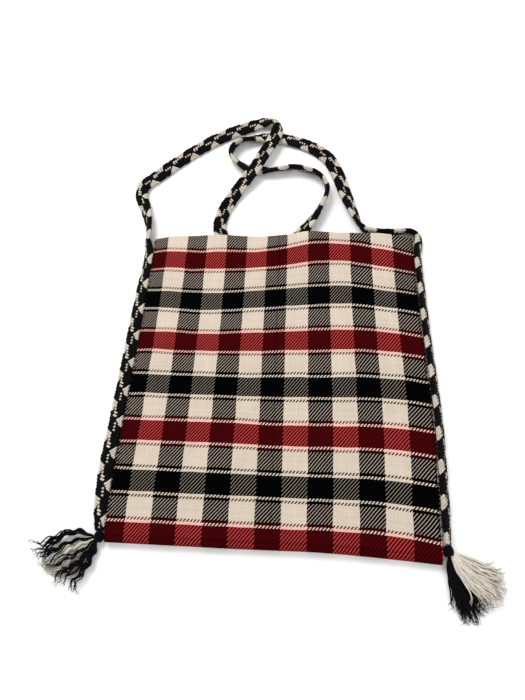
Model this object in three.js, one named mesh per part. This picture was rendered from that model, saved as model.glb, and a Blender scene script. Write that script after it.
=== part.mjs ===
// A handwoven checked sack, lying flat on its back panel with the mouth towards +Y.
// One length of cloth is folded at the bottom. A braid of black and cream yarn closes both
// side edges and runs on from corner to corner as the shoulder strap. Below the bottom
// corners the braid is undone into loose tassel locks.
// Millimetres, +Z up. The origin is the middle of the back panel's underside.
import * as THREE from 'three';

// Cloth
const CLOTH_WIDTH = 281;
const SACK_HEIGHT = 315;
const CLOTH_THICKNESS = 1.8;
const FOLD_HEIGHT = 10;
const MOUTH_HEIGHT = 15.4;
const EDGE_ROLL = 30;
const HEM_DEPTH = 22;
const HEM_THICKNESS = 1.5;

// Braid: the edge braids and the strap are one cord
const BRAID_WIDTH = 15;
const BRAID_THICKNESS = 6;
const LEFT_BRAID_TILT = 35;
const RIGHT_BRAID_TILT = 60;

// Sewing and tassels
const STITCH_THICKNESS = 1.2;
const KNOT_RADIUS = 4.6;
const LOCK_THICKNESS = 5;
const LOCK_NECK = 1.6;
const CLEARANCE = 0.3;

// Places that follow from the sizes above
const MOUTH_Y = SACK_HEIGHT / 2;
const FOLD_RADIUS = FOLD_HEIGHT / 2;
const FOLD_Y = -SACK_HEIGHT / 2 + FOLD_RADIUS;
const PANEL_START_Y = FOLD_Y + CLEARANCE;
const SIDE_X = CLOTH_WIDTH / 2;
const BRAID_EDGE_X = SIDE_X + 2 * CLEARANCE + STITCH_THICKNESS;
const KNOT_Y = FOLD_Y + 2;
const BRAID_START_Y = KNOT_Y + KNOT_RADIUS + CLEARANCE;
const BRAID_END_Y = MOUTH_Y - CLEARANCE;

const cream = { color: 0xe2d6c2, roughness: 0.95, metalness: 0 };
const black = { color: 0x17151a, roughness: 0.9, metalness: 0 };
const red = { color: 0x8a1420, roughness: 0.95, metalness: 0 };

const sack = new THREE.Group();

function add(name, geometry, look) {
  const mesh = new THREE.Mesh(geometry, new THREE.MeshStandardMaterial(look));
  mesh.name = name;
  sack.add(mesh);
  return mesh;
}

// Upper face of the front panel. It rises from the fold to the mouth, and its two side
// margins roll down to the height that the edge braids hold.
function frontFace(x, y) {
  const rise = (MOUTH_HEIGHT - FOLD_HEIGHT) * (y - PANEL_START_Y) / (MOUTH_Y - PANEL_START_Y);
  const inFromEdge = THREE.MathUtils.clamp((SIDE_X - Math.abs(x)) / EDGE_ROLL, 0, 1);
  return FOLD_HEIGHT + rise * Math.sin(inFromEdge * Math.PI / 2);
}

function backFace() {
  return CLOTH_THICKNESS;
}

// A layer of cloth from startY to the mouth, lying a given depth below an upper face.
function clothLayer(startY, upperFace, depth, thickness) {
  const length = MOUTH_Y - startY;
  const geometry = new THREE.BoxGeometry(CLOTH_WIDTH, length, thickness, 20, 4, 1);
  geometry.translate(0, startY + length / 2, -thickness / 2 - depth);
  const position = geometry.attributes.position;
  for (let i = 0; i < position.count; i += 1) {
    position.setZ(i, position.getZ(i) + upperFace(position.getX(i), position.getY(i)));
  }
  return geometry;
}

function buildPanels() {
  add('back_panel', clothLayer(PANEL_START_Y, backFace, 0, CLOTH_THICKNESS), cream);
  add('front_panel', clothLayer(PANEL_START_Y, frontFace, 0, CLOTH_THICKNESS), red);
}

// The mouth edge is turned in, so a second layer lies inside each panel.
function buildHems() {
  const startY = MOUTH_Y - HEM_DEPTH;
  const frontDepth = CLOTH_THICKNESS + CLEARANCE;
  const backDepth = -CLEARANCE - HEM_THICKNESS;
  add('front_mouth_hem', clothLayer(startY, frontFace, frontDepth, HEM_THICKNESS), cream);
  add('back_mouth_hem', clothLayer(startY, backFace, backDepth, HEM_THICKNESS), cream);
}

// The turn of the cloth that joins the two panels at the bottom of the sack: its profile
// is drawn in (y, z) and drawn out from side to side.
function buildFold() {
  const innerRadius = FOLD_RADIUS - CLOTH_THICKNESS;
  const profile = new THREE.Shape();
  profile.absarc(FOLD_Y, FOLD_RADIUS, FOLD_RADIUS, Math.PI / 2, 3 * Math.PI / 2, false);
  profile.absarc(FOLD_Y, FOLD_RADIUS, innerRadius, 3 * Math.PI / 2, Math.PI / 2, true);
  profile.closePath();
  const options = { depth: CLOTH_WIDTH, bevelEnabled: false, curveSegments: 10 };
  const geometry = new THREE.ExtrudeGeometry(profile, options);
  geometry.rotateX(Math.PI / 2);
  geometry.rotateZ(Math.PI / 2);
  geometry.translate(-CLOTH_WIDTH / 2, 0, 0);
  add('bottom_fold', geometry, red);
}

// An oval outline; its x runs along the thickness and its y along the width.
function ovalOutline(thickness, width, sides) {
  const points = [];
  for (let i = 0; i < sides; i += 1) {
    const angle = (2 * Math.PI * i) / sides;
    points.push(new THREE.Vector2(Math.cos(angle) * thickness / 2, Math.sin(angle) * width / 2));
  }
  return new THREE.Shape(points);
}

// Distance from the middle of a tilted braid to its outermost point sideways or upwards.
function braidReach(tilt, sideways) {
  const angle = THREE.MathUtils.degToRad(tilt);
  const alongWidth = BRAID_WIDTH / 2 * (sideways ? Math.cos(angle) : Math.sin(angle));
  const alongThickness = BRAID_THICKNESS / 2 * (sideways ? Math.sin(angle) : Math.cos(angle));
  return Math.hypot(alongWidth, alongThickness);
}

// Middle of an edge braid in (x, z); side is -1 on the left and 1 on the right.
function braidMiddle(side, tilt) {
  const x = side * (BRAID_EDGE_X + braidReach(tilt, true));
  return new THREE.Vector2(x, Math.max(FOLD_RADIUS, braidReach(tilt, false) + CLEARANCE));
}

// A length of braid sewn along one side edge, with its inner edge tilted up.
function buildEdgeBraid(name, side, tilt) {
  const middle = braidMiddle(side, tilt);
  const outline = ovalOutline(BRAID_THICKNESS, BRAID_WIDTH, 12);
  const options = { depth: BRAID_END_Y - BRAID_START_Y, bevelEnabled: false };
  const geometry = new THREE.ExtrudeGeometry(outline, options);
  geometry.rotateZ(Math.PI / 2 + side * THREE.MathUtils.degToRad(tilt));
  geometry.rotateX(-Math.PI / 2);
  add(name, geometry, black).position.set(middle.x, BRAID_START_Y, middle.y);
}

// Point of a tilted braid's outline, in (x, z), that lies nearest to a given point.
function nearestOnBraid(side, tilt, target) {
  const middle = braidMiddle(side, tilt);
  const widthAngle = Math.PI - side * THREE.MathUtils.degToRad(tilt);
  const samples = 144;
  let nearest = middle;
  for (let i = 0; i < samples; i += 1) {
    const angle = (2 * Math.PI * i) / samples;
    const width = Math.cos(angle) * BRAID_WIDTH / 2;
    const thickness = Math.sin(angle) * BRAID_THICKNESS / 2;
    const point = new THREE.Vector2(width, thickness).rotateAround(new THREE.Vector2(), widthAngle);
    point.add(middle);
    if (point.distanceTo(target) < nearest.distanceTo(target)) {
      nearest = point;
    }
  }
  return nearest;
}

// A row of overcast stitches, as a thin band from a panel's side edge to the braid.
function buildSeam(name, side, tilt, height) {
  const panelEdge = new THREE.Vector2(side * SIDE_X, height);
  const braidEdge = nearestOnBraid(side, tilt, panelEdge);
  const reach = braidEdge.clone().sub(panelEdge);
  const width = reach.length() - 2 * CLEARANCE;
  const middle = panelEdge.clone().addScaledVector(reach, 0.5);
  const outline = ovalOutline(STITCH_THICKNESS, width, 8);
  const options = { depth: BRAID_END_Y - BRAID_START_Y, bevelEnabled: false };
  const geometry = new THREE.ExtrudeGeometry(outline, options);
  geometry.rotateZ(-Math.PI / 2 - reach.angle());
  geometry.rotateX(-Math.PI / 2);
  add(name, geometry, black).position.set(middle.x, BRAID_START_Y, middle.y);
}

// The left braid lies flatter than the right one, which stands nearly on its edge.
function buildSides() {
  const frontHeight = FOLD_HEIGHT - CLOTH_THICKNESS / 2;
  const backHeight = CLOTH_THICKNESS / 2;
  for (const [sideName, side, tilt] of [['left', -1, LEFT_BRAID_TILT], ['right', 1, RIGHT_BRAID_TILT]]) {
    buildEdgeBraid(`${sideName}_edge_braid`, side, tilt);
    buildSeam(`${sideName}_front_seam`, side, tilt, frontHeight);
    buildSeam(`${sideName}_back_seam`, side, tilt, backHeight);
  }
}

// Route of the loose strap, from the left mouth corner to the right one. It lies on the
// surface beyond the mouth, crosses over itself twice and is tucked into the mouth once.
const STRAP_ROUTE = [
  [-146.6, 157.9, 5.4], [-147, 170, 5.2], [-151, 190, 4.8], [-157.5, 208, 4.2], [-163.5, 223, 4.1],
  [-162, 237, 4.1], [-151, 248, 4.1], [-119, 279, 4.1], [-82, 308, 4.1], [-58, 321, 4.1],
  [-36, 330, 4.3], [-20, 334, 6], [-9, 329, 9.4], [-7, 318, 11], [-12, 301, 11],
  [-22, 279, 11], [-34, 253, 10.8], [-46, 236, 7], [-57, 218, 4.5], [-66, 195, 4.7],
  [-68, 178, 6.6], [-63, 160, 7.7], [-51, 147, 7.6], [-30, 140, 7.6], [-6, 142, 7.6],
  [12, 155, 7.8], [26, 173, 6.6], [44, 205, 4.3], [51, 228, 4.1], [41, 250, 4.1],
  [14, 260, 4.1], [-16, 258, 4.1], [-45, 264, 4.1], [-62, 281, 4.1], [-54, 301, 4.1],
  [-24, 310, 4.1], [18, 301, 4.1], [52, 276, 4.2], [75, 211, 4.3], [90, 172, 5],
  [116, 167, 6], [132, 168.3, 6.6], [142, 167, 7], [146.8, 161.6, 7.4], [146.9, 158, 7.4],
];

function buildStrap() {
  const points = STRAP_ROUTE.map(([x, y, z]) => new THREE.Vector3(x, y, z));
  const path = new THREE.CatmullRomCurve3(points, false, 'centripetal');
  const outline = ovalOutline(BRAID_THICKNESS, BRAID_WIDTH, 10);
  add('shoulder_strap', new THREE.ExtrudeGeometry(outline, { steps: 80, extrudePath: path }), black);
}

// Where the braid ends it is bound with its own yarn into a round knot.
function knotProfile() {
  const points = [];
  const rings = 8;
  for (let i = 0; i <= rings; i += 1) {
    const angle = (Math.PI * i) / rings;
    const radius = i % rings === 0 ? 0 : KNOT_RADIUS * Math.sin(angle);
    points.push(new THREE.Vector2(radius, -KNOT_RADIUS * Math.cos(angle)));
  }
  return points;
}

// Tassel locks leave the knot in a fan. Each entry is a yarn colour, the heading of the
// lock in degrees from +X, its reach from the knot, its sideways bow and its layer.
const LEFT_LOCKS = [
  ['black', 192, 50, -7, 0], ['cream', 218, 52, -2, 0], ['black', 244, 42, 1, 0],
  ['black', 270, 40, 2, 0], ['cream', 204, 44, -3, 1], ['cream', 232, 34, 2, 1],
];
const RIGHT_LOCKS = [
  ['black', 258, 46, -2, 0], ['black', 285, 52, 1, 0], ['black', 312, 46, 1, 0],
  ['cream', 350, 44, 3, 0], ['cream', 332, 48, -2, 1], ['cream', 304, 44, -2, 1],
];

// Centre line of a lock: it starts at the knot's surface and comes down to its layer.
function lockPath(knot, [, heading, length, bow, layer]) {
  const angle = THREE.MathUtils.degToRad(heading);
  const along = new THREE.Vector3(Math.cos(angle), Math.sin(angle), 0);
  const across = new THREE.Vector3(-along.y, along.x, 0);
  const neckHeight = knot.z + (layer - 0.5) * 2 * LOCK_NECK;
  const layHeight = CLEARANCE + LOCK_THICKNESS / 2 + layer * (LOCK_THICKNESS + CLEARANCE);
  const start = Math.sqrt(KNOT_RADIUS ** 2 - (neckHeight - knot.z) ** 2) + 1.5 * CLEARANCE;
  const points = [0, 0.1, 0.4, 0.7, 1].map((share) => {
    const height = THREE.MathUtils.lerp(neckHeight, layHeight, Math.min(share / 0.4, 1));
    const point = new THREE.Vector3(knot.x, knot.y, height);
    point.addScaledVector(along, start + (length - start) * share);
    return point.addScaledVector(across, bow * Math.sin(Math.PI * share));
  });
  return new THREE.CatmullRomCurve3(points);
}

// A lock is thin where it leaves the knot and swells to its full thickness.
function lockGeometry(path) {
  const steps = 8;
  const outline = ovalOutline(LOCK_THICKNESS, LOCK_THICKNESS, 8);
  const geometry = new THREE.ExtrudeGeometry(outline, { steps, extrudePath: path });
  const centres = path.getSpacedPoints(steps);
  const position = geometry.attributes.position;
  const vertex = new THREE.Vector3();
  for (let i = 0; i < position.count; i += 1) {
    vertex.fromBufferAttribute(position, i);
    const gaps = centres.map((centre) => centre.distanceTo(vertex));
    const ring = gaps.indexOf(Math.min(...gaps));
    const swelling = Math.min(ring / (steps / 2), 1);
    const scale = THREE.MathUtils.lerp(LOCK_NECK / LOCK_THICKNESS, 1, swelling);
    vertex.sub(centres[ring]).multiplyScalar(scale).add(centres[ring]);
    position.setXYZ(i, vertex.x, vertex.y, vertex.z);
  }
  return geometry;
}

function buildTassel(sideName, side, tilt, locks) {
  const middle = braidMiddle(side, tilt);
  const knot = new THREE.Vector3(middle.x, KNOT_Y, KNOT_RADIUS + CLEARANCE);
  add(`${sideName}_corner_knot`, new THREE.LatheGeometry(knotProfile(), 16), black).position.copy(knot);
  const count = { black: 0, cream: 0 };
  for (const lock of locks) {
    const colour = lock[0];
    count[colour] += 1;
    const look = colour === 'black' ? black : cream;
    add(`${sideName}_${colour}_lock_${count[colour]}`, lockGeometry(lockPath(knot, lock)), look);
  }
}

buildPanels();
buildHems();
buildFold();
buildSides();
buildStrap();
buildTassel('left', -1, LEFT_BRAID_TILT, LEFT_LOCKS);
buildTassel('right', 1, RIGHT_BRAID_TILT, RIGHT_LOCKS);

export default sack;
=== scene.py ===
import math
import random

import bmesh
import bpy
import numpy as np
from mathutils import Matrix, Vector, noise


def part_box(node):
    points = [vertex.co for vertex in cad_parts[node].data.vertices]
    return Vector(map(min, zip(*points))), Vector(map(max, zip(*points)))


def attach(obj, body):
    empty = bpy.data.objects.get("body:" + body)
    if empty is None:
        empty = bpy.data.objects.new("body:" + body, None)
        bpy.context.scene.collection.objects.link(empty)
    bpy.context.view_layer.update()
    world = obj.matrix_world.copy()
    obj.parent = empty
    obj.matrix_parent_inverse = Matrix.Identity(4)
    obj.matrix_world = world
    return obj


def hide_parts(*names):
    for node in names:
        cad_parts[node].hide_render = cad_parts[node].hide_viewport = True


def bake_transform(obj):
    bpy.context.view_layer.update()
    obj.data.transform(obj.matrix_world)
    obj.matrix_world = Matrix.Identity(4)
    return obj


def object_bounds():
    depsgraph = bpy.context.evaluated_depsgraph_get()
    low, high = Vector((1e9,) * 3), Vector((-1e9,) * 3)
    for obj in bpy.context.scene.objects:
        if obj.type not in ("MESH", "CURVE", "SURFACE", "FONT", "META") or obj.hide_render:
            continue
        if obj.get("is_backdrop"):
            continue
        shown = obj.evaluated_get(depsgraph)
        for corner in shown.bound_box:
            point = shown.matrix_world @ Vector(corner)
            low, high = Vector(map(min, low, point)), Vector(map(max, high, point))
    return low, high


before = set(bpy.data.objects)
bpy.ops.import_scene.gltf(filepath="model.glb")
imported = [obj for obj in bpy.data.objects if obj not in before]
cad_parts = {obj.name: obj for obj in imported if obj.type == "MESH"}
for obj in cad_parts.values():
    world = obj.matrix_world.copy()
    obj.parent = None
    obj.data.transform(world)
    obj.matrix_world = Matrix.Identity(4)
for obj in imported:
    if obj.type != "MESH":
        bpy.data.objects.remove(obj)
cad_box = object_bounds()


# ---- The view ----
# The sack lies on a table. The camera is held over its lower half, tipped forward towards
# the mouth and rolled a little to the left.
CAMERA_PLACE = Vector((0.023, -0.185, 0.478))
CAMERA_AIM = Vector((-0.0149, 0.030, 0.0))
CAMERA_ROLL = math.radians(-8.4)

look = (CAMERA_AIM - CAMERA_PLACE).normalized()
level_right = look.cross(Vector((0, 0, 1))).normalized()
level_up = level_right.cross(look)
right = level_right * math.cos(CAMERA_ROLL) + level_up * math.sin(CAMERA_ROLL)
up = level_up * math.cos(CAMERA_ROLL) - level_right * math.sin(CAMERA_ROLL)
camera_data = bpy.data.cameras.new("camera")
camera_data.lens = 27.05
camera_data.sensor_width = 36
camera = bpy.data.objects.new("camera", camera_data)
camera_turn = Matrix((right, up, -look)).transposed().to_4x4()
camera.matrix_world = Matrix.Translation(CAMERA_PLACE) @ camera_turn
bpy.context.scene.collection.objects.link(camera)
bpy.context.scene.camera = camera
bpy.context.scene.view_settings.view_transform = "Standard"


# ---- Floor and light ----
# A sheet of pale matte card under the sack, with one large soft window-like light from the
# upper left, a weaker one from the right and an even white surround.
FLOOR_SIZE = 6.0
FLOOR_Z = -0.0004


def linear(colour):
    """An sRGB hex colour such as "#e2d6c2" as linear RGBA."""
    parts = [int(colour[i:i + 2], 16) / 255 for i in (1, 3, 5)]
    return [p / 12.92 if p <= 0.04045 else ((p + 0.055) / 1.055) ** 2.4 for p in parts] + [1]


def node(tree, kind, inputs=(), **settings):
    """Adds a node with its settings and what goes into its sockets, and gives its first output."""
    made = tree.nodes.new(kind)
    for setting, value in settings.items():
        setattr(made, setting, value)
    for socket, value in dict(inputs).items():
        if isinstance(value, bpy.types.NodeSocket):
            tree.links.new(value, made.inputs[socket])
        else:
            made.inputs[socket].default_value = value
    return made.outputs[0] if made.outputs else made


def new_material(name):
    """An empty node material and its tree."""
    material = bpy.data.materials.new(name)
    material.use_nodes = True
    material.node_tree.nodes.clear()
    return material, material.node_tree


# Matte card: almost white, faintly mottled, with no gloss.
matte_card, tree = new_material("matte_card")
place = node(tree, "ShaderNodeNewGeometry")
mottle = node(tree, "ShaderNodeTexNoise", {"Vector": place, "Scale": 9.0, "Detail": 2.0})
card = node(tree, "ShaderNodeMix", {0: mottle, 6: linear("#f3f3f2"), 7: linear("#fafafa")},
            data_type="RGBA")
card_colour = card.node.outputs[2]
card_shader = node(tree, "ShaderNodeBsdfPrincipled", {"Base Color": card_colour, "Roughness": 0.95})
node(tree, "ShaderNodeOutputMaterial", {"Surface": card_shader})

floor_mesh = bpy.data.meshes.new("floor")
half = FLOOR_SIZE / 2
floor_corners = [(x * half, y * half, FLOOR_Z) for x, y in ((-1, -1), (1, -1), (1, 1), (-1, 1))]
floor_mesh.from_pydata(floor_corners, [], [(0, 1, 2, 3)])
floor_mesh.materials.append(matte_card)
floor = bpy.data.objects.new("floor", floor_mesh)
bpy.context.scene.collection.objects.link(floor)
floor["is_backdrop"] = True

for light_name, light_place, light_size, watts in [
        ("window", (-0.55, 0.75, 1.15), 0.9, 17.0), ("fill", (0.9, -0.5, 1.0), 1.2, 5.0)]:
    light_data = bpy.data.lights.new(light_name, "AREA")
    light_data.shape = "DISK"
    light_data.size = light_size
    light_data.energy = watts
    light = bpy.data.objects.new(light_name, light_data)
    light.location = light_place
    light.rotation_euler = (-Vector(light_place)).to_track_quat("-Z", "Y").to_euler()
    bpy.context.scene.collection.objects.link(light)

world = bpy.data.worlds.new("surround")
world.use_nodes = True
world.node_tree.nodes.clear()
surround = node(world.node_tree, "ShaderNodeBackground", {"Color": linear("#ffffff"), "Strength": 0.72})
node(world.node_tree, "ShaderNodeOutputWorld", {"Surface": surround})
bpy.context.scene.world = world


# ---- The braid: edge braids and shoulder strap ----
# One long flat plait of black and cream wool. It is sewn up the left side edge, runs on
# from corner to corner as the strap, lies tucked once into the mouth, and is sewn down the
# right side edge. Its two columns of strands slant outwards and wrap round its edges.
HALF_WIDTH = 0.0075
HALF_THICKNESS = 0.0027
STRAND_HALF_WIDTH = 0.00125
STRAND_HALF_HEIGHT = 0.00100
REPEAT = 0.030
STRANDS_PER_REPEAT = 10
STRAND_SLANT = 0.0066
PITCH = REPEAT / STRANDS_PER_REPEAT

# Route of the strap from the left mouth corner to the right one.
STRAP_ROUTE = [
    (-0.1466, 0.1579, 0.0054), (-0.1470, 0.1700, 0.0052), (-0.1510, 0.1900, 0.0048),
    (-0.1575, 0.2080, 0.0042), (-0.1635, 0.2230, 0.0041), (-0.1620, 0.2370, 0.0041),
    (-0.1510, 0.2480, 0.0041), (-0.1190, 0.2790, 0.0041), (-0.0820, 0.3080, 0.0041),
    (-0.0580, 0.3210, 0.0041), (-0.0360, 0.3300, 0.0043), (-0.0200, 0.3340, 0.0060),
    (-0.0090, 0.3290, 0.0094), (-0.0070, 0.3180, 0.0110), (-0.0120, 0.3010, 0.0110),
    (-0.0220, 0.2790, 0.0110), (-0.0340, 0.2530, 0.0108), (-0.0460, 0.2360, 0.0070),
    (-0.0570, 0.2180, 0.0045), (-0.0660, 0.1950, 0.0047), (-0.0680, 0.1780, 0.0066),
    (-0.0630, 0.1600, 0.0077), (-0.0510, 0.1470, 0.0076), (-0.0300, 0.1400, 0.0076),
    (-0.0060, 0.1420, 0.0076), (0.0120, 0.1550, 0.0078), (0.0260, 0.1730, 0.0066),
    (0.0440, 0.2050, 0.0043), (0.0510, 0.2280, 0.0041), (0.0410, 0.2500, 0.0041),
    (0.0140, 0.2600, 0.0041), (-0.0160, 0.2580, 0.0041), (-0.0450, 0.2640, 0.0041),
    (-0.0620, 0.2810, 0.0041), (-0.0540, 0.3010, 0.0041), (-0.0240, 0.3100, 0.0041),
    (0.0180, 0.3010, 0.0041), (0.0520, 0.2760, 0.0042), (0.0750, 0.2110, 0.0043),
    (0.0900, 0.1720, 0.0050), (0.1160, 0.1670, 0.0060), (0.1320, 0.1683, 0.0066),
    (0.1420, 0.1670, 0.0070), (0.1468, 0.1616, 0.0074), (0.1469, 0.1580, 0.0074),
]
# How far the plait leans over along the route, in degrees, as (route point, lean): 0 lies
# flat, 90 stands on its edge, and above 0 the side to the right of the way onwards is the
# higher one. Where the upper run crosses it, the lower run lies flat.
STRAP_LEAN = [
    (0, 72), (1, 66), (2, 50), (3, 24), (4, 4), (5, -8), (6, -20), (9, -20), (10, -10),
    (11, 5), (11.6, 50), (12.4, 70), (13, 40), (14, 6), (17, 0), (18, 12), (19, 30), (20, 30),
    (21, 10), (24, 0), (25, 5), (26, 22), (27, 68), (28, 88), (29, 116), (30, 114),
    (30.7, 128), (31, 140), (31.25, 163), (31.8, 163), (32.05, 140), (32.4, 126), (33, 96),
    (34, 62), (34.5, 40), (34.9, 12), (36, -6), (37, -16), (38, 20), (39, 78), (40, 74),
    (41, 70), (42, 66), (43, 62), (44, 60),
]
STEP = 0.0006
LEFT_MIDDLE_Z = 0.0054
RIGHT_MIDDLE_Z = 0.0068


def bell(x, middle, width):
    """1 at the middle, falling smoothly to 0 a few widths away."""
    return math.exp(-((x - middle) / width) ** 2)


def edge_x(side, y):
    """Where the cloth's side edge is at y; side is -1 on the left and 1 on the right."""
    if side < 0:
        return -0.1400 + 0.0030 * math.tanh(y / 0.09) - 0.0014 * bell(y, -0.11, 0.05)
    return 0.1398 + 0.0046 * bell(y, -0.05, 0.09)


def smooth_line(points, spacing):
    """A centripetal Catmull-Rom curve through the points, as places about spacing apart, and
    how far along it each of the points is."""
    points = np.array(points, float)
    padded = np.vstack([2 * points[0] - points[1], points, 2 * points[-1] - points[-2]])
    places = []
    marks = []
    for a, b, c, d in zip(padded, padded[1:], padded[2:], padded[3:]):
        legs = ((a, b), (b, c), (c, d))
        before, between, after = (math.sqrt(np.linalg.norm(q - p)) for p, q in legs)
        leave = ((b - a) / before - (c - a) / (before + between) + (c - b) / between) * between
        arrive = ((c - b) / between - (d - b) / (between + after) + (d - c) / after) * between
        marks.append(len(places))
        steps = max(4, int(np.linalg.norm(c - b) / spacing * 2))
        for t in np.arange(steps) / steps:
            places.append((2 * t ** 3 - 3 * t ** 2 + 1) * b + (t ** 3 - 2 * t ** 2 + t) * leave
                          + (3 * t ** 2 - 2 * t ** 3) * c + (t ** 3 - t ** 2) * arrive)
    marks.append(len(places))
    places.append(points[-1])
    places = np.array(places)
    along = np.concatenate([[0], np.cumsum(np.linalg.norm(np.diff(places, axis=0), axis=1))])
    even = np.linspace(0, along[-1], int(round(along[-1] / spacing)) + 1)
    return np.stack([np.interp(even, along, places[:, i]) for i in range(3)], axis=1), along[marks]


def softened(values, reach):
    """Values along a line, each made the average of its neighbours within reach places."""
    padded = np.pad(values, reach, mode="edge")
    return np.convolve(padded, np.ones(2 * reach + 1) / (2 * reach + 1), mode="valid")


# The sewn stretches follow the cloth's side edges up the left side and down the right one.
braid_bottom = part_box("left_edge_braid")[0].y
sewn_heights = np.linspace(braid_bottom, 0.144, 7)
left_gaps = [0.0060, 0.0088, 0.0086, 0.0082, 0.0080, 0.0074, 0.0064]
left_points = [(edge_x(-1, y) - gap, y, LEFT_MIDDLE_Z) for y, gap in zip(sewn_heights, left_gaps)]
left_points[0] = (-0.1496, braid_bottom - 0.0013, LEFT_MIDDLE_Z)
left_lean = [10, 8, 8, 10, 14, 26, 44]
right_points = [(edge_x(1, y) + 0.0049, y, RIGHT_MIDDLE_Z) for y in sewn_heights[::-1]]
right_points[-1] = (0.1466, braid_bottom - 0.0021, RIGHT_MIDDLE_Z)
right_lean = [60] * len(right_points)
braid_points = left_points + STRAP_ROUTE + right_points
braid_line, braid_marks = smooth_line(braid_points, STEP)
braid_length = braid_marks[-1]
first_free = len(left_points)
last_free = first_free + len(STRAP_ROUTE) - 1
strap_from = braid_marks[first_free]
strap_to = braid_marks[last_free]
braid_along = np.linspace(0, braid_length, len(braid_line))
strap_places, strap_leans = zip(*STRAP_LEAN)
lean_places = [*range(first_free), *(first_free + np.array(strap_places)),
               *range(last_free + 1, len(braid_points))]
lean_marks = np.interp(lean_places, np.arange(len(braid_marks)), braid_marks)
lean_degrees = np.interp(braid_along, lean_marks, left_lean + list(strap_leans) + right_lean)
lean = softened(np.radians(lean_degrees), 8)

# A leaning plait stands higher, so its middle is lifted until its lower edge is on the table.
reach_down = np.hypot(HALF_WIDTH * np.sin(lean), HALF_THICKNESS * np.cos(lean))
braid_line[:, 2] = softened(np.maximum(braid_line[:, 2], reach_down + 0.0003), 6)

heading = np.gradient(braid_line, axis=0)
heading /= np.linalg.norm(heading, axis=1)[:, None]
flat_side = np.cross(heading, [0, 0, 1])
flat_side /= np.linalg.norm(flat_side, axis=1)[:, None]
flat_up = np.cross(flat_side, heading)
braid_side = flat_side * np.cos(lean)[:, None] + flat_up * np.sin(lean)[:, None]
braid_up = flat_up * np.cos(lean)[:, None] - flat_side * np.sin(lean)[:, None]


def in_braid(along, across, over):
    """Places given by their distance along, across and over the middle of the plait, which is
    drawn together where it comes to a corner knot."""
    drawn_over = [0, 0.015, braid_length - 0.015, braid_length]
    drawn = np.interp(along, drawn_over, [0.55, 1, 1, 0.55])
    result = 0
    for vectors, factor in ((braid_line, 1), (braid_side, across * drawn),
                            (braid_up, over * drawn ** 0.3)):
        turned = [np.interp(along, braid_along, vectors[:, i]) for i in range(3)]
        result = result + np.stack(turned, axis=-1) * np.asarray(factor)[..., None]
    return result


def new_skin():
    """An empty mesh to add strands to."""
    return {"points": [], "faces": [], "strand": [], "tone": [], "size": 0}


def add_strand(skin, rings, tone):
    """Adds a closed tube through rings of points, (rings, sides, 3). tone is one number or one
    for each ring. Each point keeps its tone, how far along the strand it is in millimetres and
    which way round it lies."""
    count, sides = rings.shape[:2]
    numbers = skin["size"] + np.arange(count * sides).reshape(count, sides)
    turned = np.roll(numbers, -1, axis=1)
    walls = np.stack([numbers[:-1], turned[:-1], turned[1:], numbers[1:]], axis=-1)
    skin["faces"] += walls.reshape(-1, 4).tolist()
    skin["faces"] += [numbers[0, ::-1].tolist(), numbers[-1].tolist()]
    middles = rings.mean(axis=1)
    along = np.concatenate([[0], np.cumsum(np.linalg.norm(np.diff(middles, axis=0), axis=1))]) * 1000
    angles = 2 * np.pi * np.arange(sides) / sides
    around = np.stack([np.cos(angles), np.sin(angles)], axis=1)
    strand = np.concatenate([np.repeat(along, sides)[:, None], np.tile(around, (count, 1))], axis=1)
    skin["points"].append(rings.reshape(-1, 3))
    skin["strand"].append(strand)
    skin["tone"].append(np.repeat(np.broadcast_to(tone, count), sides))
    skin["size"] += count * sides


def smooth_mesh(name, points, faces):
    """A smooth mesh with its normals outwards."""
    data = bpy.data.meshes.new(name)
    data.from_pydata(points, [], faces)
    shell = bmesh.new()
    shell.from_mesh(data)
    bmesh.ops.recalc_face_normals(shell, faces=shell.faces)
    shell.to_mesh(data)
    shell.free()
    data.shade_smooth()
    return data


def placed(name, data, material):
    """The object of a mesh, in its material, put into the scene."""
    data.materials.append(material)
    obj = bpy.data.objects.new(name, data)
    bpy.context.scene.collection.objects.link(obj)
    return obj


def skin_object(name, skin, material):
    """Makes the object of a skin, with the strands' own measures on its points."""
    data = smooth_mesh(name, np.concatenate(skin["points"]).tolist(), skin["faces"])
    strand = data.attributes.new("strand", "FLOAT_VECTOR", "POINT")
    strand.data.foreach_set("vector", np.concatenate(skin["strand"]).astype(np.float32).ravel())
    tone = data.attributes.new("tone", "FLOAT", "POINT")
    tone.data.foreach_set("value", np.concatenate(skin["tone"]).astype(np.float32))
    return placed(name, data, material)


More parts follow.
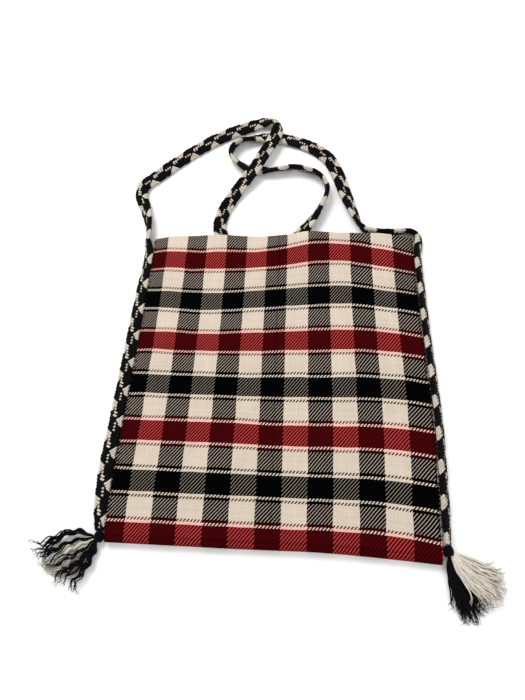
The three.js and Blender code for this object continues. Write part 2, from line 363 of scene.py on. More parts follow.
def spun_yarn(name, black_hex, cream_hex, ply_turn_mm, plies, hairiness):
    """Wool spun and plied by hand: matte and a little hairy, painted lighter on top of each ply and
    darker between them as painted shade. A point's tone is 0 in black yarn and 1 in cream yarn."""
    material, tree = new_material(name)
    dyed = node(tree, "ShaderNodeAttribute", attribute_name="tone").node.outputs["Fac"]
    tone = node(tree, "ShaderNodeMapRange", {0: dyed, 1: 0.35, 2: 0.65})
    strand = node(tree, "ShaderNodeAttribute", attribute_name="strand").node.outputs["Vector"]
    along = node(tree, "ShaderNodeSeparateXYZ", {0: strand})
    beside, above = along.node.outputs["Y"], along.node.outputs["Z"]
    angle = node(tree, "ShaderNodeMath", {0: above, 1: beside}, operation="ARCTAN2")
    turn = node(tree, "ShaderNodeMath", {0: along, 1: 2 * math.pi / ply_turn_mm}, operation="MULTIPLY")
    wound = node(tree, "ShaderNodeMath", {0: angle, 1: turn}, operation="ADD")
    half_turns = node(tree, "ShaderNodeMath", {0: wound, 1: plies / 2}, operation="MULTIPLY")
    wave = node(tree, "ShaderNodeMath", {0: half_turns}, operation="SINE")
    ply = node(tree, "ShaderNodeMath", {0: wave}, operation="ABSOLUTE")
    spot = node(tree, "ShaderNodeTexCoord").node.outputs["Object"]
    # Single fibres are about 0.03 mm thick; they are drawn 0.25 mm thick so that they show.
    fibre = node(tree, "ShaderNodeTexNoise", {"Vector": spot, "Scale": 2600.0, "Detail": 3.0})
    patch = node(tree, "ShaderNodeTexNoise", {"Vector": spot, "Scale": 160.0, "Detail": 2.0})
    yarn = node(tree, "ShaderNodeMix", {0: tone, 6: linear(black_hex), 7: linear(cream_hex)},
                data_type="RGBA")
    yarn_colour = yarn.node.outputs[2]
    # Painted shade: the colour is darker in the hollows between the plies and lighter on their tops.
    ply_shade = node(tree, "ShaderNodeMapRange", {0: ply, 3: 0.62, 4: 1.04})
    hairs = node(tree, "ShaderNodeMapRange", {0: fibre, 1: 0.3, 2: 0.7, 3: 0.86, 4: 1.1})
    patches = node(tree, "ShaderNodeMapRange", {0: patch, 1: 0.3, 2: 0.7, 3: 0.9, 4: 1.08})
    shade = node(tree, "ShaderNodeMath", {0: ply_shade, 1: hairs}, operation="MULTIPLY")
    shade = node(tree, "ShaderNodeMath", {0: shade, 1: patches}, operation="MULTIPLY")
    colour = node(tree, "ShaderNodeVectorMath", {0: yarn_colour, 3: shade}, operation="SCALE")
    fuzz = node(tree, "ShaderNodeMath", {0: fibre, 1: hairiness, 2: ply}, operation="MULTIPLY_ADD")
    bump = node(tree, "ShaderNodeBump", {"Height": fuzz, "Strength": 0.8, "Distance": 0.0003})
    shader = node(tree, "ShaderNodeBsdfPrincipled", {
        "Base Color": colour, "Normal": bump, "Roughness": 0.92, "IOR": 1.53,
        "Specular IOR Level": 0.06, "Sheen Weight": 0.02, "Sheen Roughness": 0.5})
    node(tree, "ShaderNodeOutputMaterial", {"Surface": shader})
    return material


# Each strand of the plait is a small bundle of yarns laid side by side with hardly any twist.
BLACK_YARN = "#08070a"
CREAM_YARN = "#d6ccbc"
braid_wool = spun_yarn("braided_black_and_cream_wool", BLACK_YARN, CREAM_YARN, 26.0, 8, 0.5)

# A strand comes up beside the middle line, slants out over the face, wraps the edge and
# slants on under the plait. Angles run from the top of the oval round to its underside.
STRAND_RINGS = 19
WRAP_DEGREES = 112
strand_angles = np.radians(np.linspace(WRAP_DEGREES, -WRAP_DEGREES, STRAND_RINGS))
ring_angles = 2 * np.pi * np.arange(6) / 6
from_ends = np.minimum(np.arange(STRAND_RINGS), np.arange(STRAND_RINGS)[::-1]) / 2.2
dive = 0.4 + 0.6 * np.clip(from_ends, 0, 1)
lane_width = HALF_WIDTH - STRAND_HALF_HEIGHT
lane_height = HALF_THICKNESS - STRAND_HALF_HEIGHT
outwards = np.cos(strand_angles)
upwards = np.sin(strand_angles)
lane_across = lane_width * np.sign(outwards) * np.abs(outwards) ** 0.85
lane_over = lane_height * np.sign(upwards) * np.abs(upwards) ** 0.6 * dive
lane_along = STRAND_SLANT * (1 - np.degrees(strand_angles) / WRAP_DEGREES)
outward = np.stack([np.zeros(STRAND_RINGS), outwards / lane_width, upwards / lane_height], axis=1)
outward /= np.linalg.norm(outward, axis=1)[:, None]
lane = np.stack([lane_along, lane_across, lane_over], axis=1)
lane_heading = np.gradient(lane, axis=0)
lane_side = np.cross(lane_heading, outward)
lane_side /= np.linalg.norm(lane_side, axis=1)[:, None]
end_taper = 0.55 + 0.45 * np.clip(from_ends, 0, 1)
ring_widths = STRAND_HALF_WIDTH * end_taper[:, None] * np.cos(ring_angles)
ring_heights = STRAND_HALF_HEIGHT * np.sin(ring_angles)
strand_rings = (lane[:, None, :] + lane_side[:, None, :] * ring_widths[..., None]
                + outward[:, None, :] * ring_heights[None, :, None])


def dyed_tone(along, share):
    """1 where a strand shows its cream length and 0 where it is black, from how far along the
    plait it is and its share of the way from the middle line to the edge. Each repeat has one
    cream leaf at the edge and, behind it, three cream dots beside the middle line."""
    back = (-along / REPEAT % 1) * 30
    leaf_inner = np.interp(back, [0, 4, 6.4, 11.8, 12], [0.84, 0.20, 0.20, 0.92, 2.0])
    dots = np.zeros(np.shape(back), bool)
    for dot_from, dot_to in ((8.6, 10.4), (11.8, 13.6), (15, 16.6)):
        dots |= (back > dot_from) & (back < dot_to)
    return ((share > leaf_inner) | dots & (share > 0.05) & (share < 0.36)).astype(float)


# Each stretch of the plait: its name, the CAD piece it stands for, and where it starts and ends.
BRAID_STRETCHES = [
    ("left_edge_plait", "left_edge_braid", 0, strap_from),
    ("shoulder_strap_plait", "shoulder_strap", strap_from, strap_to),
    ("right_edge_plait", "right_edge_braid", strap_to, braid_length),
]
braid_skins = {stretch[0]: new_skin() for stretch in BRAID_STRETCHES}
chance = random.Random(7)
for number in range(-int(2 * STRAND_SLANT / PITCH), int(braid_length / PITCH)):
    for column in (-1, 1):
        shift = 0.5 * PITCH if column > 0 else 0
        start = number * PITCH + shift
        if start < strap_from - STRAND_SLANT:
            piece_name = "left_edge_plait"
        elif start < strap_to - STRAND_SLANT:
            piece_name = "shoulder_strap_plait"
        else:
            piece_name = "right_edge_plait"
        pattern_along = start + lane_along + (0 if column < 0 else REPEAT / 2)
        tone = dyed_tone(pattern_along, lane_across / lane_width)
        wander = chance.uniform(-0.0002, 0.0002)
        swell = chance.uniform(0.94, 1.05)
        kept = (start + lane_along > 0) & (start + lane_along < braid_length)
        if kept.sum() < 4:
            continue
        rings = strand_rings[kept]
        places = in_braid(start + wander + rings[..., 0], column * rings[..., 1] * swell,
                          rings[..., 2] * swell)
        add_strand(braid_skins[piece_name], places, tone[kept])

# Under the strands runs the black filling of the plait.
CORE_SIDES = 12
core_angles = 2 * np.pi * np.arange(CORE_SIDES) / CORE_SIDES
core_across = (HALF_WIDTH - 0.0012) * np.cos(core_angles)
core_over = (HALF_THICKNESS - 0.0011) * np.sin(core_angles)
for piece_name, node_name, core_from, core_to in BRAID_STRETCHES:
    core_along = np.linspace(core_from, core_to, int((core_to - core_from) / 0.003) + 2)
    ring = np.ones((len(core_along), CORE_SIDES))
    core = in_braid(core_along[:, None] * ring, core_across * ring, core_over * ring)
    add_strand(braid_skins[piece_name], core, 0)
    plait = skin_object(piece_name, braid_skins[piece_name], braid_wool)
    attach(plait, "sack_back")
    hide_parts(node_name)


# ---- The cloth ----
# One length of handwoven wool and cotton, 28 cm wide, folded at the bottom of the sack and
# turned in at the mouth. It is one cloth, modelled as a back with the fold and two halves
# of the front, so that the front can bow up while its side edges stay sewn down.
CLOTH_THICKNESS = 0.0014
CLOTH_HALF_WIDTH = 0.1405
HEM_DEPTH = 0.022
MOUTH_INSET = 0.0018
MOUTH_TURN = 0.0011
EDGE_ROLL = 0.030
FIRST_LINE_Y = 0.1465
FIRST_STRIPE_X = -0.1240

front_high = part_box("front_panel")[1]
mouth_y = front_high.y
fold_low, fold_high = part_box("bottom_fold")
fold_top = fold_high.z
fold_y = fold_low.y + fold_top / 2
front_rise = front_high.z - fold_top


def ramp(value, start, reach):
    """0 up to the start, rising to 1 over the reach; a reach below 0 rises backwards."""
    return min(max((value - start) / reach, 0), 1)


def mouth_line(x):
    """How far the front's turned edge stands beyond the back's: it is pulled up on the right."""
    return 0.0012 * bell(x, -0.090, 0.040) + 0.0052 * bell(x, 0.060, 0.055)


def fold_drop(x, y):
    """How far the cloth near the fold is shifted along y: the bottom edge lies askew, lower on
    the right."""
    left_rise = 0.0014 * ramp(x, -0.03, -0.11)
    right_fall = 0.0060 * ramp(x, 0.03, 0.11) ** 1.4
    return (left_rise - right_fall) * ramp(y, -0.03, -0.125) ** 2


def weft_bow(x, y):
    """How far the weft sags below straight lines. It dips on the left of the upper half and
    in the middle, and it is pulled up towards the mouth on the right."""
    upper = ramp(y, -0.08, 0.14)
    sag = 0.0055 * bell(x, -0.070, 0.080) * upper * upper * (3 - 2 * upper)
    sag += 0.0030 * bell(x, 0.030, 0.090) * bell(y, -0.040, 0.090)
    sag += 0.0010 * ramp(x, 0.06, 0.07) + 0.0052 * ramp(x, 0.07, 0.07) ** 2
    sag += 0.0022 * bell(x, 0.111, 0.030) * bell(y, 0.120, 0.050)
    sag -= 0.0034 * bell(x, 0.060, 0.040) * ramp(y, 0.02, 0.09)
    sag += 0.0016 * bell(x, -0.080, 0.040) * bell(y, 0.080, 0.040)
    return sag - 0.0024 * bell(y, fold_y, 0.038) + 0.4 * fold_drop(x, y)


def front_height(x, y):
    """Upper face of the front: it rises to the mouth, rolls down at the sides, humps over the
    tucked strap and is softly dented all over."""
    share = (y - fold_y) / (mouth_y - fold_y)
    gap = min(x - edge_x(-1, y), edge_x(1, y) - x)
    inward = math.sin(ramp(gap, 0, EDGE_ROLL) * math.pi / 2)
    height = fold_top + front_rise * share * inward
    near_mouth = bell(y, mouth_y, 0.045)
    clear_of_fold = min(share * 6, 1)
    hump = 0.0034 * bell(x, 0.030, 0.017) + 0.0016 * bell(x, -0.064, 0.016)
    hump += 0.0012 * bell(x, 0.108, 0.014) - 0.0010 * bell(x, -0.020, 0.020)
    hump -= 0.0012 * bell(x, 0.072, 0.018)
    dents = 0.0011 * noise.noise(Vector((x * 26, y * 18, 0.3)))
    dents += 0.0005 * noise.noise(Vector((x * 70, y * 60, 4)))
    puckers = 0.0004 * math.sin(y * 2 * math.pi / 0.021 + 3 * x) * (1 - inward)
    return height + (hump * near_mouth + dents * clear_of_fold) * inward + puckers * clear_of_fold


def cloth_slab(name, rows, downs, material):
    """Cloth of even thickness round a grid of middle points, rows by columns, closed at its
    edges. downs is how far each row is below the first coloured line, along the cloth."""
    rows = np.array(rows)
    count, width = rows.shape[:2]
    normals = np.cross(np.gradient(rows, axis=1), np.gradient(rows, axis=0))
    normals /= np.linalg.norm(normals, axis=2)[..., None]
    half_sheet = normals * CLOTH_THICKNESS / 2
    points = np.concatenate([rows + half_sheet, rows - half_sheet])
    outer, inner = np.arange(2 * count * width).reshape(2, count, width)
    outer_quads = [outer[:-1, :-1], outer[:-1, 1:], outer[1:, 1:], outer[1:, :-1]]
    inner_quads = [inner[:-1, :-1], inner[1:, :-1], inner[1:, 1:], inner[:-1, 1:]]
    quads = [np.stack(corners, -1).reshape(-1, 4) for corners in (outer_quads, inner_quads)]
    for outer_rim, inner_rim in [(outer[0], inner[0]), (outer[-1], inner[-1]),
                                 (outer[:, 0], inner[:, 0]), (outer[:, -1], inner[:, -1])]:
        quads.append(np.stack([outer_rim[:-1], inner_rim[:-1], inner_rim[1:], outer_rim[1:]], -1))
    data = smooth_mesh(name, points.reshape(-1, 3).tolist(), np.concatenate(quads).tolist())
    edges = np.array([[edge_x(-1 if x < 0 else 1, y) for x, y, _ in row] for row in rows])
    across = (rows[..., 0] / np.abs(edges) * CLOTH_HALF_WIDTH - FIRST_STRIPE_X) * 1000
    bow = np.array([[weft_bow(x, y) for x, y, _ in row] for row in rows])
    down = (np.array(downs)[:, None] - bow) * 1000
    threads = np.stack([across, down, np.zeros_like(across)], axis=-1)
    attribute = data.attributes.new("threads", "FLOAT_VECTOR", "POINT")
    attribute.data.foreach_set("vector", np.concatenate([threads, threads]).astype(np.float32).ravel())
    return placed(name, data, material)


# Handwoven 2/2 twill: cream and black warp in 22 mm stripes, and a cream weft crossed by
# bands of red and black, each between two thin lines of its own colour. There are 13 warp
# ends and 10.5 picks to the centimetre, so the twill lines are 2.4 mm apart and lean at
# 52 degrees.
END_MM = 0.75
PICK_MM = 0.95
STRIPE_MM = 21.98
GROUP_MM = 47.2
LINE_HALF_MM = 1.3
BAND_MIDDLE_MM = 14.8
BAND_HALF_MM = 9.8
LOWER_LINE_MM = 28.3
check_twill, tree = new_material("handwoven_check_twill")
threads = node(tree, "ShaderNodeAttribute", attribute_name="threads").node.outputs["Vector"]
drift = node(tree, "ShaderNodeTexNoise", {"Vector": threads, "Scale": 0.045, "Detail": 1.0})
drift_colour = drift.node.outputs["Color"]
drift_shift = node(tree, "ShaderNodeVectorMath", {0: drift_colour, 1: (0.5, 0.5, 0.5)},
                   operation="SUBTRACT")
drift_mm = node(tree, "ShaderNodeVectorMath", {0: drift_shift, 3: 1.6}, operation="SCALE")
woven = node(tree, "ShaderNodeVectorMath", {0: threads, 1: drift_mm}, operation="ADD")
across = node(tree, "ShaderNodeSeparateXYZ", {0: woven})
down = across.node.outputs["Y"]

stripe_part = node(tree, "ShaderNodeMath", {0: across, 1: 2 * STRIPE_MM}, operation="FLOORED_MODULO")
black_warp = node(tree, "ShaderNodeMath", {0: stripe_part, 1: STRIPE_MM}, operation="GREATER_THAN")
group_part = node(tree, "ShaderNodeMath", {0: down, 1: GROUP_MM}, operation="FLOORED_MODULO")
upper_line = node(tree, "ShaderNodeMath", {0: group_part, 1: LINE_HALF_MM, 2: LINE_HALF_MM},
                  operation="COMPARE")
band = node(tree, "ShaderNodeMath", {0: group_part, 1: BAND_MIDDLE_MM, 2: BAND_HALF_MM},
            operation="COMPARE")
lower_line = node(tree, "ShaderNodeMath", {0: group_part, 1: LOWER_LINE_MM, 2: LINE_HALF_MM},
                  operation="COMPARE")
lines = node(tree, "ShaderNodeMath", {0: upper_line, 1: lower_line}, operation="ADD")
coloured = node(tree, "ShaderNodeMath", {0: lines, 1: band}, operation="ADD")
pair_part = node(tree, "ShaderNodeMath", {0: down, 1: 2 * GROUP_MM}, operation="FLOORED_MODULO")
red_group = node(tree, "ShaderNodeMath", {0: pair_part, 1: GROUP_MM}, operation="LESS_THAN")

end_place = node(tree, "ShaderNodeMath", {0: across, 1: END_MM}, operation="DIVIDE")
pick_place = node(tree, "ShaderNodeMath", {0: down, 1: PICK_MM}, operation="DIVIDE")
end_number = node(tree, "ShaderNodeMath", {0: end_place}, operation="FLOOR")
pick_number = node(tree, "ShaderNodeMath", {0: pick_place}, operation="FLOOR")
diagonal = node(tree, "ShaderNodeMath", {0: end_place, 1: pick_place}, operation="ADD")
diagonal_part = node(tree, "ShaderNodeMath", {0: diagonal, 1: 4.0}, operation="FLOORED_MODULO")

# Dark threads close up over the cream ones they cross, so only about a quarter of the cream shows: this
# is partly the dark threads covering it and partly painted shade, the dark colour drawn over the shaded
# sides of the cream threads. In plain twill the warp lies on top over two threads of every four, and
# over this many more or fewer where colours cross.
PLAIN_FLOAT = 2.0
BLACK_OVER_CREAM = 0.98
CREAM_UNDER_DARK = -1.16
BLACK_OVER_RED = 0.4
cream_warp = node(tree, "ShaderNodeMath", {0: 1.0, 1: black_warp}, operation="SUBTRACT")
ground = node(tree, "ShaderNodeMath", {0: group_part, 1: LOWER_LINE_MM + LINE_HALF_MM},
              operation="GREATER_THAN")
dark_over_cream = node(tree, "ShaderNodeMath", {0: black_warp, 1: ground}, operation="MULTIPLY")
cream_under_dark = node(tree, "ShaderNodeMath", {0: cream_warp, 1: band}, operation="MULTIPLY")
float_ends = node(tree, "ShaderNodeMath", {0: dark_over_cream, 1: BLACK_OVER_CREAM, 2: PLAIN_FLOAT},
                  operation="MULTIPLY_ADD")
float_ends = node(tree, "ShaderNodeMath", {0: cream_under_dark, 1: CREAM_UNDER_DARK, 2: float_ends},
                  operation="MULTIPLY_ADD")
red_over_black = node(tree, "ShaderNodeMath", {0: black_warp, 1: coloured}, operation="MULTIPLY")
red_over_black = node(tree, "ShaderNodeMath", {0: red_over_black, 1: red_group}, operation="MULTIPLY")
float_ends = node(tree, "ShaderNodeMath", {0: red_over_black, 1: BLACK_OVER_RED, 2: float_ends},
                  operation="MULTIPLY_ADD")
warp_over = node(tree, "ShaderNodeMath", {0: diagonal_part, 1: float_ends}, operation="LESS_THAN")

# Painted shade: a cream thread between black ones lies deep and is painted darker, as in their shade,
# and between red ones it takes on their colour and is painted darker too. A red weft over black warp is
# painted darker in the same way.
dark_hex, cream_hex, red_hex = "#030304", "#c9bbaa", "#5c070b"
shaded_weft_hex, shaded_warp_hex, pink_hex = "#ac9f92", "#8e8479", "#b8524f"
thin_pink_hex = "#dab1a6"
shaded_red_hex, reddened_black_hex = "#4a0609", "#2a0305"
red_weft = node(tree, "ShaderNodeMix", {0: black_warp, 6: linear(red_hex), 7: linear(shaded_red_hex)},
                data_type="RGBA").node.outputs[2]
group_colour = node(tree, "ShaderNodeMix", {0: red_group, 6: linear(dark_hex), 7: red_weft},
                    data_type="RGBA").node.outputs[2]
plain_part = node(tree, "ShaderNodeMath", {0: ground, 1: coloured}, operation="ADD")
thin_gap = node(tree, "ShaderNodeMath", {0: 1.0, 1: plain_part}, operation="SUBTRACT")
blushed = node(tree, "ShaderNodeMath", {0: thin_gap, 1: red_group}, operation="MULTIPLY")
bare_cream = node(tree, "ShaderNodeMix", {0: blushed, 6: linear(cream_hex), 7: linear(thin_pink_hex)},
                  data_type="RGBA").node.outputs[2]
plain_weft = node(tree, "ShaderNodeMix",
                  {0: dark_over_cream, 6: bare_cream, 7: linear(shaded_weft_hex)},
                  data_type="RGBA").node.outputs[2]
weft_colour = node(tree, "ShaderNodeMix", {0: coloured, 6: plain_weft, 7: group_colour},
                   data_type="RGBA").node.outputs[2]
# Cream warp under the bands in painted shade, pinker in the red groups.
shaded_warp = node(tree, "ShaderNodeMix", {0: red_group, 6: linear(shaded_warp_hex), 7: linear(pink_hex)},
                 data_type="RGBA").node.outputs[2]
pale_warp = node(tree, "ShaderNodeMix", {0: band, 6: bare_cream, 7: shaded_warp},
                 data_type="RGBA").node.outputs[2]
red_band = node(tree, "ShaderNodeMath", {0: band, 1: red_group}, operation="MULTIPLY")
black_end = node(tree, "ShaderNodeMix",
                 {0: red_band, 6: linear(dark_hex), 7: linear(reddened_black_hex)},
                 data_type="RGBA").node.outputs[2]
warp_colour = node(tree, "ShaderNodeMix", {0: black_warp, 6: pale_warp, 7: black_end},
                   data_type="RGBA").node.outputs[2]
top_colour = node(tree, "ShaderNodeMix", {0: warp_over, 6: weft_colour, 7: warp_colour},
                  data_type="RGBA").node.outputs[2]

# No two handspun threads are quite the same, and each is rounded, with painted shade darkening its
# sides.
end_tone = node(tree, "ShaderNodeTexWhiteNoise", {"W": end_number}, noise_dimensions="1D")
pick_tone = node(tree, "ShaderNodeTexWhiteNoise", {"W": pick_number}, noise_dimensions="1D")
thread_tone = node(tree, "ShaderNodeMix", {0: warp_over, 2: pick_tone, 3: end_tone}, data_type="FLOAT")
thread_shade = node(tree, "ShaderNodeMapRange", {0: thread_tone, 3: 0.90, 4: 1.04})
end_part = node(tree, "ShaderNodeMath", {0: end_place}, operation="FRACT")
pick_part = node(tree, "ShaderNodeMath", {0: pick_place}, operation="FRACT")
end_turn = node(tree, "ShaderNodeMath", {0: end_part, 1: math.pi}, operation="MULTIPLY")
pick_turn = node(tree, "ShaderNodeMath", {0: pick_part, 1: math.pi}, operation="MULTIPLY")
end_round = node(tree, "ShaderNodeMath", {0: end_turn}, operation="SINE")
pick_round = node(tree, "ShaderNodeMath", {0: pick_turn}, operation="SINE")
thread_round = node(tree, "ShaderNodeMix", {0: warp_over, 2: pick_round, 3: end_round},
                    data_type="FLOAT")
ridge_turn = node(tree, "ShaderNodeMath", {0: diagonal_part, 1: math.pi / 2}, operation="MULTIPLY")
ridge_wave = node(tree, "ShaderNodeMath", {0: ridge_turn}, operation="SINE")
ridge = node(tree, "ShaderNodeMath", {0: ridge_wave}, operation="ABSOLUTE")
relief = node(tree, "ShaderNodeMath", {0: thread_round, 1: 0.15, 2: ridge}, operation="MULTIPLY_ADD")
# Painted shade: the colour darkens at the sides of each thread and in the hollows between the twill's
# ridges.
hollow_shade = node(tree, "ShaderNodeMapRange", {0: relief, 1: 0.0, 2: 1.1, 3: 0.86, 4: 1.03})
spot = node(tree, "ShaderNodeTexCoord").node.outputs["Object"]
slub = node(tree, "ShaderNodeTexNoise", {"Vector": spot, "Scale": 55.0, "Detail": 4.0})
slub_shade = node(tree, "ShaderNodeMapRange", {0: slub, 1: 0.3, 2: 0.7, 3: 0.95, 4: 1.04})
shade = node(tree, "ShaderNodeMath", {0: thread_shade, 1: hollow_shade}, operation="MULTIPLY")
shade = node(tree, "ShaderNodeMath", {0: shade, 1: slub_shade}, operation="MULTIPLY")
cloth_colour = node(tree, "ShaderNodeVectorMath", {0: top_colour, 3: shade}, operation="SCALE")
bump = node(tree, "ShaderNodeBump", {"Height": relief, "Strength": 0.7, "Distance": 0.00025})
cloth_shader = node(tree, "ShaderNodeBsdfPrincipled", {
    "Base Color": cloth_colour, "Normal": bump, "Roughness": 0.93, "IOR": 1.53,
    "Specular IOR Level": 0.006, "Sheen Weight": 0.0})
node(tree, "ShaderNodeOutputMaterial", {"Surface": cloth_shader})

# The front, in two halves: up from the fold, over the mouth edge and down inside as the hem.
rim_y = mouth_y - MOUTH_INSET
front_ys = np.linspace(fold_y, rim_y, 84)
turn_angles = np.radians(np.linspace(72, -90, 8))
turn_length = MOUTH_TURN * math.pi / 2
hem_ys = np.linspace(mouth_y - 0.005, mouth_y - HEM_DEPTH, 7)
shares = np.linspace(0, 1, 41)
for side, name in [(-1, "front_cloth_left"), (1, "front_cloth_right")]:
    rows = []
    downs = []
    for y in front_ys:
        xs = edge_x(side, y) * shares
        pull = ramp(y, 0.09, mouth_y - 0.09) ** 2
        rows.append([(x, y + pull * mouth_line(x) + fold_drop(x, y),
                      front_height(x, y) - CLOTH_THICKNESS / 2) for x in xs])
        downs.append(FIRST_LINE_Y - y)
    xs = edge_x(side, mouth_y) * shares
    rims = [front_height(x, mouth_y) - CLOTH_THICKNESS / 2 for x in xs]
    for angle in turn_angles:
        y = rim_y + MOUTH_TURN * math.cos(angle)
        rows.append([(x, y + mouth_line(x), rim - MOUTH_TURN + MOUTH_TURN * math.sin(angle))
                     for x, rim in zip(xs, rims)])
        downs.append(FIRST_LINE_Y - rim_y - turn_length * (1 - math.degrees(angle) / 90))
    turned_down = downs[-1]
    for y in hem_ys:
        xs = edge_x(side, y) * shares
        rows.append([(x, y + mouth_line(x), front_height(x, y) - CLOTH_THICKNESS / 2 - 2 * MOUTH_TURN)
                     for x in xs])
        downs.append(turned_down - (rim_y - y))
    half = cloth_slab(name, rows, downs, check_twill)
    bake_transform(half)
    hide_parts("front_panel", "front_mouth_hem")

# The back with its hem and the fold: in from the hem, round the mouth edge, down the back
# and round the bottom turn to where the front begins.
back_middle = CLOTH_THICKNESS / 2 + 0.0001
back_top = mouth_y - 0.002
back_profile = []
for y in np.linspace(mouth_y - HEM_DEPTH, back_top, 6):
    back_profile.append((y, back_middle + 2 * MOUTH_TURN))
for angle in np.radians(np.linspace(75, -75, 6)):
    back_profile.append((rim_y + MOUTH_TURN * math.cos(angle),
                         back_middle + MOUTH_TURN * (1 + math.sin(angle))))
for y in np.linspace(back_top, fold_y, 70):
    back_profile.append((y, back_middle))
fold_radius = (fold_top - CLOTH_THICKNESS / 2 - back_middle) / 2
for angle in np.radians(np.linspace(-90, -270, 15)[1:]):
    back_profile.append((fold_y + fold_radius * math.cos(angle),
                         back_middle + fold_radius * (1 + math.sin(angle))))
profile = np.array(back_profile)
lengths = np.concatenate([[0], np.cumsum(np.linalg.norm(np.diff(profile, axis=0), axis=1))])
front_length = FIRST_LINE_Y - fold_y
rows = []
downs = []
shares = np.linspace(0, 1, 61)
for (y, z), length in zip(back_profile, lengths):
    xs = edge_x(-1, y) + (edge_x(1, y) - edge_x(-1, y)) * shares
    rows.append([(x, y + fold_drop(x, y), z) for x in xs])
    downs.append(front_length + lengths[-1] - length)
back = cloth_slab("back_cloth", rows, downs, check_twill)
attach(back, "sack_back")
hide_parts("back_panel", "back_mouth_hem", "bottom_fold")


# ---- Side seams ----
# Black cotton sewing thread, overcast by hand every 7 mm: each stitch goes in 3 mm from the
# cloth's side edge, over that edge and into the braid beside it.
STITCH_PITCH = 0.007
STITCH_RADIUS = 0.00042
sewing_cotton = spun_yarn("black_sewing_cotton", BLACK_YARN, BLACK_YARN, 1.6, 2, 0.2)


def tube_rings(line, radii, sides):
    """Rings of points round a line, kept from twisting; radii is one number or one for each
    ring."""
    line = np.array(line, float)
    ahead = np.gradient(line, axis=0)
    ahead /= np.linalg.norm(ahead, axis=1)[:, None]
    side = np.cross(ahead[0], [0, 0, 1])
    if np.linalg.norm(side) < 0.1:
        side = np.cross(ahead[0], [1, 0, 0])
    radii = np.broadcast_to(radii, len(line))
    angles = 2 * np.pi * np.arange(sides) / sides
    rings = []
    for place, direction, radius in zip(line, ahead, radii):
        side = side - direction * side.dot(direction)
        side /= np.linalg.norm(side)
        over = np.cross(side, direction)
        rings.append(place + radius * (np.cos(angles)[:, None] * side + np.sin(angles)[:, None] * over))
    return np.array(rings)


for side, side_name in [(-1, "left"), (1, "right")]:
    for layer_name in ("front", "back"):
        seam = new_skin()
        for y in np.arange(braid_bottom + 0.004, mouth_y - 0.004, STITCH_PITCH):
            edge = edge_x(side, y)
            if layer_name == "front":
                top = front_height(edge, y)
                inmost = edge - side * 0.0030
                risen = edge - side * 0.0022
                stitch = [(inmost, y - 0.0012, front_height(inmost, y) - 0.0003),
                          (risen, y - 0.0008, front_height(risen, y) + 0.0003),
                          (edge - side * 0.0006, y, top + 0.0005),
                          (edge + side * 0.0006, y + 0.0006, top - 0.0004),
                          (edge + side * 0.0014, y + 0.0010, top - 0.0016)]
            else:
                stitch = [(edge - side * 0.0010, y - 0.0010, 0.0019),
                          (edge, y - 0.0004, 0.0020),
                          (edge + side * 0.0010, y + 0.0004, 0.0020),
                          (edge + side * 0.0022, y + 0.0010, 0.0024)]
            stitch_line, _ = smooth_line(stitch, 0.0006)
            add_strand(seam, tube_rings(stitch_line, STITCH_RADIUS, 6), 0.0)
        stitches = skin_object(f"{side_name}_{layer_name}_stitches", seam, sewing_cotton)
        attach(stitches, "sack_back")
        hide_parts(f"{side_name}_{layer_name}_seam")


# ---- Corner knots ----
# Where the braid ends it is bound round with its own yarn, in turns laid side by side over
# the gathered strands.
KNOT_TURNS = 6
KNOT_YARN_RADIUS = 0.0011
# The share of the knot's half length that the turns cover.
KNOT_REACH = 0.82
# The knots hang a little below their places, as the cloth's bottom edge lies askew.
KNOT_SHIFTS = {"left": Vector((-0.0008, -0.0012, 0)), "right": Vector((0, -0.0020, 0))}
for side_name in ("left", "right"):
    low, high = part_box(f"{side_name}_corner_knot")
    middle = (low + high) / 2 + KNOT_SHIFTS[side_name]
    radius = (high.x - low.x) / 2
    knot = new_skin()
    turns = np.linspace(-1, 1, KNOT_TURNS * 22)
    bulge = (radius - KNOT_YARN_RADIUS) * np.sqrt(1 - (turns * KNOT_REACH) ** 2)
    angles = turns * KNOT_TURNS * math.pi
    wound = np.stack([middle.x + bulge * np.cos(angles), middle.y - turns * radius * KNOT_REACH,
                      middle.z + bulge * np.sin(angles) * 0.92], axis=1)
    add_strand(knot, tube_rings(wound, KNOT_YARN_RADIUS, 6), 0.0)
    inner = np.linspace(-0.92, 0.92, 9)
    inner_line = [(middle.x, middle.y + share * radius, middle.z) for share in inner]
    inner_radii = (radius - 0.0016) * np.sqrt(1 - inner ** 2) + 0.0003
    add_strand(knot, tube_rings(inner_line, inner_radii, 12), 0.0)
    bound = skin_object(f"{side_name}_bound_knot", knot, braid_wool)
    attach(bound, f"{side_name}_knot")
    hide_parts(f"{side_name}_corner_knot")


# ---- Tassels ----
# Below each knot the braid's strands are undone into loose two-ply wool yarns, still crimped
# from the plaiting. They lie in locks of one colour, and each yarn ends in a frayed tip.
YARN_RADIUS = 0.00062
YARN_RINGS = 34
YARN_START = 0.0030
FRAY_RADII = [0.00025, 0.00022, 0.00018, 0.00012]
tassel_black = spun_yarn("loose_black_wool_yarn", BLACK_YARN, CREAM_YARN, 3.2, 2, 0.5)
tassel_cream = spun_yarn("loose_cream_wool_yarn", BLACK_YARN, "#dcd4c6", 3.2, 2, 0.5)

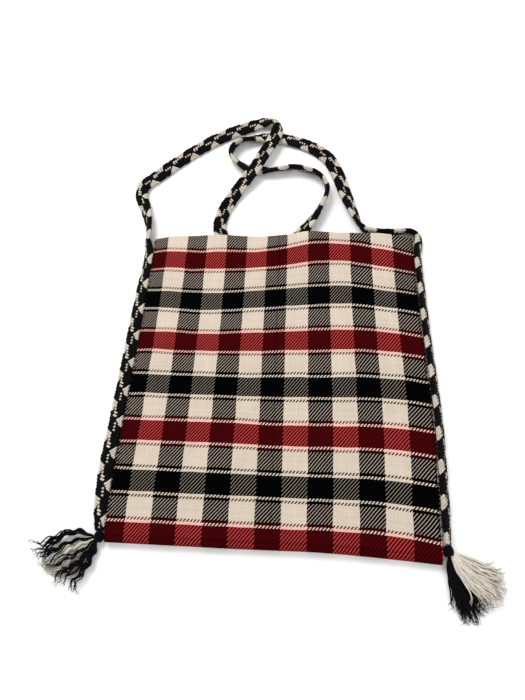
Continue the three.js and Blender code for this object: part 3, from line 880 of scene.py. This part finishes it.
# Each lock: its colour, heading in degrees from +X, reach in millimetres, sideways bow in
# millimetres, height of its middle in millimetres, spread at the tip and number of yarns.
LEFT_LOCKS = [
    ("cream", 208, 51, -3, 2.6, 9, 20),
    ("cream", 221, 47, -1, 2.6, 8, 16),
    ("cream", 238, 34, 1, 2.4, 8, 10),
    ("black", 192, 55, -8, 5.4, 3, 11),
    ("black", 203, 52, -4, 6.0, 4, 8),
    ("black", 213, 46, 3, 5.6, 3, 6),
    ("black", 228, 46, 4, 5.2, 3, 9),
    ("black", 244, 42, 4, 4.6, 4, 10),
]
RIGHT_LOCKS = [
    ("black", 278, 45, -2, 3.2, 9, 24),
    ("black", 287, 51, -1, 3.4, 12, 28),
    ("black", 299, 48, 1, 3.2, 11, 24),
    ("cream", 308, 45, -3, 6.4, 8, 24),
    ("cream", 320, 48, -2, 6.2, 10, 28),
    ("cream", 335, 41, 0, 4.6, 10, 24),
]
# How far the yarns wave to each side: the left ones are crimped, the right ones lie straighter.
CRIMPS = {"left": (0.0007, 0.0015), "right": (0.0001, 0.0004)}
for side_name, locks in [("left", LEFT_LOCKS), ("right", RIGHT_LOCKS)]:
    low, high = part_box(f"{side_name}_corner_knot")
    root = np.array((low + high) / 2 + KNOT_SHIFTS[side_name])
    chance = random.Random(11 if side_name == "left" else 23)
    skins = {"black": new_skin(), "cream": new_skin()}
    for colour, lock_heading, reach, bow, height, spread, yarns in locks:
        tone = 1.0 if colour == "cream" else 0.0
        lock_phase = chance.uniform(0, 2 * math.pi)
        lock_wave = chance.uniform(0.0105, 0.0130)
        for _ in range(yarns):
            turn = math.radians(lock_heading + chance.gauss(0, spread * 0.35))
            ahead = np.array([math.cos(turn), math.sin(turn), 0])
            beside = np.array([-ahead[1], ahead[0], 0])
            yarn_reach = reach / 1000 * chance.uniform(0.80, 1.03)
            rise = max(0.0008, (height + chance.uniform(-2.4, 2.2)) / 1000)
            crimp = chance.uniform(*CRIMPS[side_name])
            phase = lock_phase + chance.gauss(0, 0.5)
            wave = lock_wave * chance.uniform(0.97, 1.03)
            lay = chance.gauss(0, 0.0010)
            curl = chance.gauss(0, 0.0028)
            line = []
            yarn_shares = np.linspace(0, 1, YARN_RINGS)
            for share in yarn_shares:
                along = YARN_START + (yarn_reach - YARN_START) * share
                fan = min(share * 3, 1)
                swing = 2 * math.pi * along / wave + phase
                arch = bow / 1000 * math.sin(math.pi * min(share * 1.1, 1))
                sideways = (arch + lay * fan + curl * share ** 2.5
                            + crimp * fan * math.sin(swing))
                lift = (root[2] + (rise - root[2]) * min(share * 2.2, 1) ** 0.8
                        + 0.5 * crimp * fan * math.cos(swing))
                place = root * (1, 1, 0) + ahead * along + beside * sideways
                line.append(place + np.array([0, 0, max(lift, 0.0007)]))
            taper = np.interp(yarn_shares, [0, 0.9, 1], [1, 1, 0.45])
            add_strand(skins[colour], tube_rings(line, YARN_RADIUS * taper, 6), tone)
            # Three fine fibres stand out of the tip.
            tip = line[-1]
            last = tip - line[-3]
            last /= np.linalg.norm(last)
            for _ in range(3):
                fray = []
                for out in (0, 0.002, 0.004, 0.006):
                    stray = last * chance.uniform(0.8, 1.2) + beside * chance.uniform(-0.6, 0.6)
                    lifted = np.array([0, 0, chance.uniform(-0.0002, 0.0005)])
                    fray.append(tip - last * 0.002 + stray * out + lifted)
                add_strand(skins[colour], tube_rings(fray, FRAY_RADII, 4), tone)
    for colour, material in [("black", tassel_black), ("cream", tassel_cream)]:
        yarn_piece = skin_object(f"{side_name}_{colour}_yarns", skins[colour], material)
        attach(yarn_piece, f"{side_name}_tassel")
        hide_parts(*[f"{side_name}_{colour}_lock_{i}" for i in (1, 2, 3)])


def plain(value):
    """Nested vectors as nested lists of numbers."""
    return [plain(v) if hasattr(v, "__len__") else round(float(v), 5) for v in value]


str([plain(cad_box), plain(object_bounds())])
